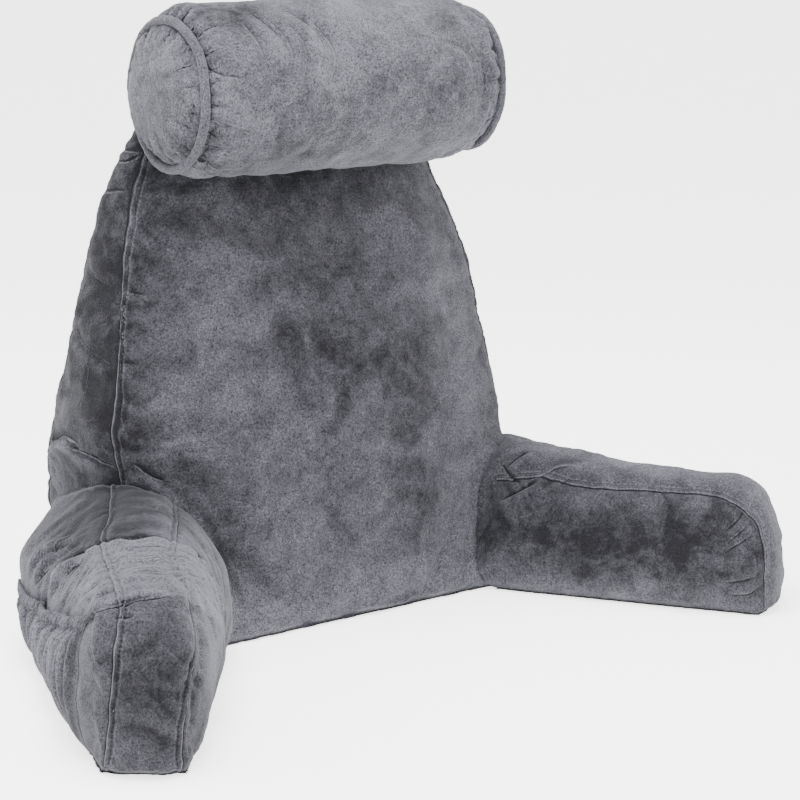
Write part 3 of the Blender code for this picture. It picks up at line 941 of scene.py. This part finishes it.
def covered_cord(name, end, seed):
    """Piping: a cord in its own strip of cloth, bent round the roll's end."""
    turns, sides = 220, 14
    dice = np.random.default_rng(seed)
    phase = dice.uniform(0, 6, 4)
    verts = []
    for i in range(turns):
        t = 2 * pi * i / turns
        wobble = 0.0007 * sin(3 * t + phase[0]) + 0.0003 * sin(7 * t + phase[1])
        side_wobble = 0.0008 * sin(4 * t + phase[2]) + 0.0003 * sin(9 * t + phase[3])
        thick = CORD_RADIUS * (1 + 0.03 * sin(31 * t) + 0.02 * sin(53 * t + 1))
        for j in range(sides):
            a = 2 * pi * j / sides
            reach = RING_RADIUS + wobble + thick * cos(a)
            verts.append(ROLL_CENTRE + np.array((
                end * ROLL_HALF + side_wobble + thick * sin(a),
                reach * cos(t), reach * sin(t))))
    faces = []
    for i in range(turns):
        a, b = i * sides, (i + 1) % turns * sides
        for j in range(sides):
            k = (j + 1) % sides
            faces.append((a + j, b + j, b + k, a + k))
    return add_mesh(name, verts, faces)


cords = [covered_cord("roll_cord_left", -1, 101), covered_cord("roll_cord_right", 1, 102)]


# ---------------------------------------------------------------- the pocket

POCKET_REAR = np.array((-0.335, 0.134))
POCKET_FRONT = np.array((-0.449, -0.197))
POCKET_FOOT = 0.003
POCKET_TOP = (
    # share of its width, height
    (0.0, 0.066), (0.15, 0.069), (0.43, 0.078), (0.73, 0.103), (1.0, 0.134),
)
POCKET_COLUMNS, POCKET_ROWS = 260, 46
POCKET_THICKNESS = 0.0016
POCKET_SLACK = 0.007
BAND_COLUMNS, BAND_ROWS = 420, 10
BAND_HEIGHT = 0.014
BAND_LAP = 0.004  # how far the band reaches down over the pocket
BAND_THICKNESS = 0.0026
GATHER_HEIGHT = 0.0125
pocket_way = (POCKET_FRONT - POCKET_REAR) / np.linalg.norm(POCKET_FRONT - POCKET_REAR)
pocket_out = np.array((pocket_way[1], -pocket_way[0], 0.0))
if pocket_out[0] > 0:
    pocket_out = -pocket_out
arm_tree = BVHTree.FromObject(left_arm, bpy.context.evaluated_depsgraph_get())


def on_arm(u, z):
    """The point of the arm's outside at a share u of the pocket's width and a height z."""
    flat = POCKET_REAR + (POCKET_FRONT - POCKET_REAR) * u
    start = np.array((flat[0], flat[1], max(z, 0.001))) + pocket_out * 0.2
    hit = arm_tree.ray_cast(Vector(start), Vector(-pocket_out), 0.6)[0]
    return np.array(hit) if hit is not None else None


def sheet_over_arm(columns, rows, low, high, stand_off):
    """A sheet that follows the arm's outside between two heights."""
    grid = []
    for i in range(columns + 1):
        u = i / columns
        column = []
        for j in range(rows + 1):
            v = j / rows
            z = low(u) + (high(u) - low(u)) * v
            column.append(on_arm(u, z))
        grid.append(column)
    verts, last = [], None
    for i, column in enumerate(grid):
        for j, p in enumerate(column):
            if p is None:
                near = [q for q in column if q is not None]
                p = near[0] if near else last
            last = p
            u, v = i / columns, j / rows
            verts.append(p + pocket_out * stand_off(u, v))
    faces = []
    for i in range(columns):
        for j in range(rows):
            a, b = i * (rows + 1) + j, (i + 1) * (rows + 1) + j
            faces.append((a, b, b + 1, a + 1))
    return verts, faces


def pocket_top(u):
    """The height of the pocket's opening, which rises towards the arm's tip."""
    return float(np.interp(u, *zip(*POCKET_TOP)))


dice = np.random.default_rng(111)
GATHERS = []
spot = 0.01
while spot < 0.99:
    GATHERS.append((spot, dice.uniform(0.011, 0.019), dice.uniform(0.55, 1.0),
                    dice.uniform(0.6, 1.3), dice.uniform(-0.03, 0.03)))
    spot += dice.uniform(0.038, 0.072)


def sewn_down(u):
    """0 where the pocket's sides are sewn to the arm, 1 away from them."""
    return sin(pi / 2 * max(0.0, min(1.0, u / 0.1, (1 - u) / 0.07)))


def band_stand_off(u, v):
    """The ruched elastic band: flat where it is sewn down, proud of the arm between."""
    free = min(sewn_down(u), sin(pi / 2 * min(1.0, u / 0.35)))
    ruches = 0.0011 * sin(u * 430 + 2.5 * sin(u * 37)) + 0.0007 * sin(u * 233)
    return (0.0008 + 0.0044 * free + 0.0018 * free * sin(pi * v)
            + ruches * (0.5 + 0.5 * sin(pi * v))
            - 0.0012 * exp(-((v - 0.18) / 0.09) ** 2))


def gathered(u, v):
    """How far the pocket's cloth stands off the arm."""
    total = 0.0
    for spot, wide, tall, run, slant in GATHERS:
        centre = spot + slant * (1 - v)
        fade = exp(-((1 - v) / run) ** 2)
        total += tall * fade * exp(-((u - centre) / wide) ** 2)
    slack = 4 * v * (1 - v) * sin(pi * min(max(u, 0), 1)) ** 0.5
    ends = min(sewn_down(u), sin(pi / 2 * min(1.0, u / 0.25)))
    full = min(total, 1.2) * min(1.0, (1 - v) * 9 + 0.35)
    return 0.0021 * ends - 0.0004 + (GATHER_HEIGHT * full + POCKET_SLACK * slack) * ends


def gather_shade(u, v):
    """Painted light and shade: lighter on the gathers' ridges and darker in the hollows between
    them.
    """
    smooth_cloth = 0.0017 + POCKET_SLACK * 4 * v * (1 - v)
    return 46 * (gathered(u, v) - smooth_cloth) * sewn_down(u) - 0.1


verts, faces = sheet_over_arm(POCKET_COLUMNS, POCKET_ROWS, lambda u: POCKET_FOOT,
                              lambda u: pocket_top(u) - 0.002, gathered)
pocket = add_mesh("outer_pocket", verts, faces)
# painted light and shade on the gathers
shades = [gather_shade(i / POCKET_COLUMNS, j / POCKET_ROWS)
          for i in range(POCKET_COLUMNS + 1) for j in range(POCKET_ROWS + 1)]
pocket.data.attributes.new("nap_and_painted_light", "FLOAT", "POINT").data.foreach_set("value", shades)
verts, faces = sheet_over_arm(
    BAND_COLUMNS, BAND_ROWS, lambda u: pocket_top(u) - BAND_LAP,
    lambda u: pocket_top(u) + BAND_HEIGHT - BAND_LAP, band_stand_off)
band = add_mesh("pocket_band", verts, faces)
for thing, thick in ((pocket, POCKET_THICKNESS), (band, BAND_THICKNESS)):
    shell = thing.modifiers.new("thickness", "SOLIDIFY")
    shell.thickness = thick
    shell.offset = 0.0
    apply_modifiers(thing)
    thing.data.shade_smooth()
    face_outwards(thing.data)


# ---------------------------------------------------------------- stitches

def stitch_shape():
    """One stitch: a short rounded thread along X."""
    rings = ((-0.5, 0.25), (-0.32, 0.9), (0.32, 0.9), (0.5, 0.25))  # place, radius
    sides = 5
    angles = [2 * pi * k / sides for k in range(sides)]
    verts = [(x, r * cos(a), r * sin(a)) for x, r in rings for a in angles]
    faces = [(k * sides + j, k * sides + (j + 1) % sides,
              (k + 1) * sides + (j + 1) % sides, (k + 1) * sides + j)
             for k in range(len(rings) - 1) for j in range(sides)]
    last = sides * (len(rings) - 1)
    faces += [tuple(range(sides))[::-1], tuple(range(last, last + sides))]
    thing = add_mesh("one_stitch", verts, faces)
    face_outwards(thing.data)
    return thing


def stitch_tree(one):
    """Lays one stitch at a pitch along each row of a mesh of edges."""
    tree = bpy.data.node_groups.new("row_of_stitches", "GeometryNodeTree")
    book = NodeBook(tree)
    face = tree.interface
    face.new_socket("Geometry", in_out="INPUT", socket_type="NodeSocketGeometry")
    ids = {}
    for name, value in (("Pitch", STITCH_PITCH), ("Length", STITCH_LENGTH),
                        ("Radius", STITCH_RADIUS)):
        socket = face.new_socket(name, in_out="INPUT", socket_type="NodeSocketFloat")
        socket.default_value = value
        ids[name] = socket.identifier
    face.new_socket("Geometry", in_out="OUTPUT", socket_type="NodeSocketGeometry")
    given, result = tree.nodes.new("NodeGroupInput"), tree.nodes.new("NodeGroupOutput")
    rows, pitch, length, radius = [Value(book, given.outputs[name]) for name in
                                   ("Geometry", "Pitch", "Length", "Radius")]
    curve = book.node("GeometryNodeMeshToCurve", {}, {0: rows})
    spaced = book.node("GeometryNodeResampleCurve", {"mode": "LENGTH"},
                       {"Curve": curve, "Length": pitch})
    turn = book.node("FunctionNodeAlignEulerToVector", {"axis": "X"},
                     {"Vector": book.node("GeometryNodeInputTangent")})
    stitch = book.node("GeometryNodeObjectInfo", {}, {"Object": one}, "Geometry")
    size = book.node("ShaderNodeCombineXYZ", {}, {0: length, 1: radius, 2: radius})
    laid = book.node("GeometryNodeInstanceOnPoints", {}, {
        "Points": spaced, "Instance": stitch, "Rotation": turn, "Scale": size})
    real = book.node("GeometryNodeRealizeInstances", {}, {0: laid})
    book.put(result.inputs[0], book.node("GeometryNodeSetMaterial", {},
                                         {"Geometry": real, "Material": thread}))
    return tree, ids


one_stitch = stitch_shape()
stitch_rows, stitch_ids = stitch_tree(one_stitch)


def stitch_seams(name, piece, lines):
    """A row of stitches on a piece beside each of its seams."""
    tree = BVHTree.FromObject(piece, bpy.context.evaluated_depsgraph_get())
    verts, edges = [], []
    for line, flip in lines:
        line = smooth_line(line[::2], 0.003)
        row = []
        for p, way in zip(line, np.gradient(line, axis=0)):
            hit, normal, _, _ = tree.find_nearest(Vector(p), 0.04)
            if hit is None or p[2] < CLEAR_OF_FLOOR:
                row.append(None)
                continue
            beside = Vector(way).cross(normal).normalized()
            hit, normal, _, _ = tree.find_nearest(hit + beside * (flip * SEAM_GAP), 0.02)
            row.append(hit - normal * STITCH_DEPTH if hit is not None and hit.z > 0.004
                       else None)
        for a, b in zip(row, row[1:]):
            if a is not None and b is not None and (b - a).length < 0.02:
                verts += [a, b]
                edges.append((len(verts) - 2, len(verts) - 1))
    mesh = bpy.data.meshes.new(name)
    mesh.from_pydata(verts, edges, [])
    merge_points(mesh, 1e-6)
    thing = add_object(name, mesh)
    rows = thing.modifiers.new("stitches", "NODES")
    rows.node_group = stitch_rows
    rows[stitch_ids["Pitch"]] = STITCH_PITCH
    apply_modifiers(thing)
    return thing


stitching = [
    stitch_seams("back_stitching", back, back_lines),
    stitch_seams("left_arm_stitching", left_arm, left_lines),
    stitch_seams("right_arm_stitching", right_arm, right_lines),
]
bpy.data.objects.remove(one_stitch)


def finish_piece(piece, material, replaced=()):
    piece.data.materials.clear()
    piece.data.materials.append(material)
    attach(piece, "root")
    if replaced:
        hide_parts(*replaced)


finish_piece(back, cover_plush, ["back_cushion"])
finish_piece(left_arm, cover_plush, ["arm_left"])
finish_piece(right_arm, cover_plush, ["arm_right"])
finish_piece(roll, roll_plush, ["neck_roll"])
finish_piece(cords[0], cord_plush, ["neck_roll_piping_left"])
finish_piece(cords[1], cord_plush, ["neck_roll_piping_right"])
finish_piece(pocket, pocket_plush, ["arm_pocket"])
finish_piece(band, pocket_plush, ["pocket_elastic"])
for thing in stitching:
    finish_piece(thing, thread)


# ---------------------------------------------------------------- stage, light, camera

def pale_floor():
    return ShaderBook("pale_floor").finish(
        Base_Color=(0.9, 0.895, 0.885, 1.0), Roughness=0.8,
        Emission_Color=(1.0, 0.995, 0.985, 1.0), Emission_Strength=2.2)


FLOOR_HALF = 30.0
FLOOR_DROP = -0.0006  # just under the cushions, so that the two don't flicker
floor = add_mesh("floor", [(x * FLOOR_HALF, y * FLOOR_HALF, FLOOR_DROP)
                           for x, y in ((-1, -1), (1, -1), (1, 1), (-1, 1))], [(0, 1, 2, 3)])
floor.data.materials.append(pale_floor())

world = bpy.data.worlds.new("soft_room")
bpy.context.scene.world = world
world.use_nodes = True
sky = world.node_tree.nodes["Background"]
sky.inputs["Color"].default_value = (1.0, 1.0, 1.0, 1.0)
sky.inputs["Strength"].default_value = 2.05


def softbox(name, place, aim, size, power):
    """A square soft light, turned towards its aim."""
    light = bpy.data.lights.new(name, "AREA")
    light.size = size
    light.energy = power
    lamp = add_object(name, light)
    lamp.location = place
    lamp.rotation_euler = (Vector(aim) - Vector(place)).to_track_quat("-Z", "Y").to_euler()


softbox("overhead", (-0.4, -0.2, 2.4), (0, 0, 0.2), 1.4, 135)
softbox("left_rear", (-2.2, 1.0, 1.6), (0, 0, 0.3), 1.2, 20)
softbox("right_fill", (2.2, -1.2, 1.4), (0, 0, 0.2), 1.5, 16)

CAMERA_AIM = Vector((0.0619, -0.0042, 0.2491))
CAMERA_TURN = radians(-35.55)
CAMERA_RISE = radians(13.0)
CAMERA_REACH = 2.4615
CAMERA_LENS = 97.56  # millimetres, as is the sensor's width
CAMERA_SENSOR = 36.0
camera_data = bpy.data.cameras.new("camera")
camera_data.lens = CAMERA_LENS
camera_data.sensor_width = CAMERA_SENSOR
camera = add_object("camera", camera_data)
toward = Vector((sin(CAMERA_TURN) * cos(CAMERA_RISE),
                 -cos(CAMERA_TURN) * cos(CAMERA_RISE), sin(CAMERA_RISE)))
camera.location = CAMERA_AIM + toward * CAMERA_REACH
camera.rotation_euler = (-toward).to_track_quat("-Z", "Y").to_euler()
bpy.context.scene.camera = camera
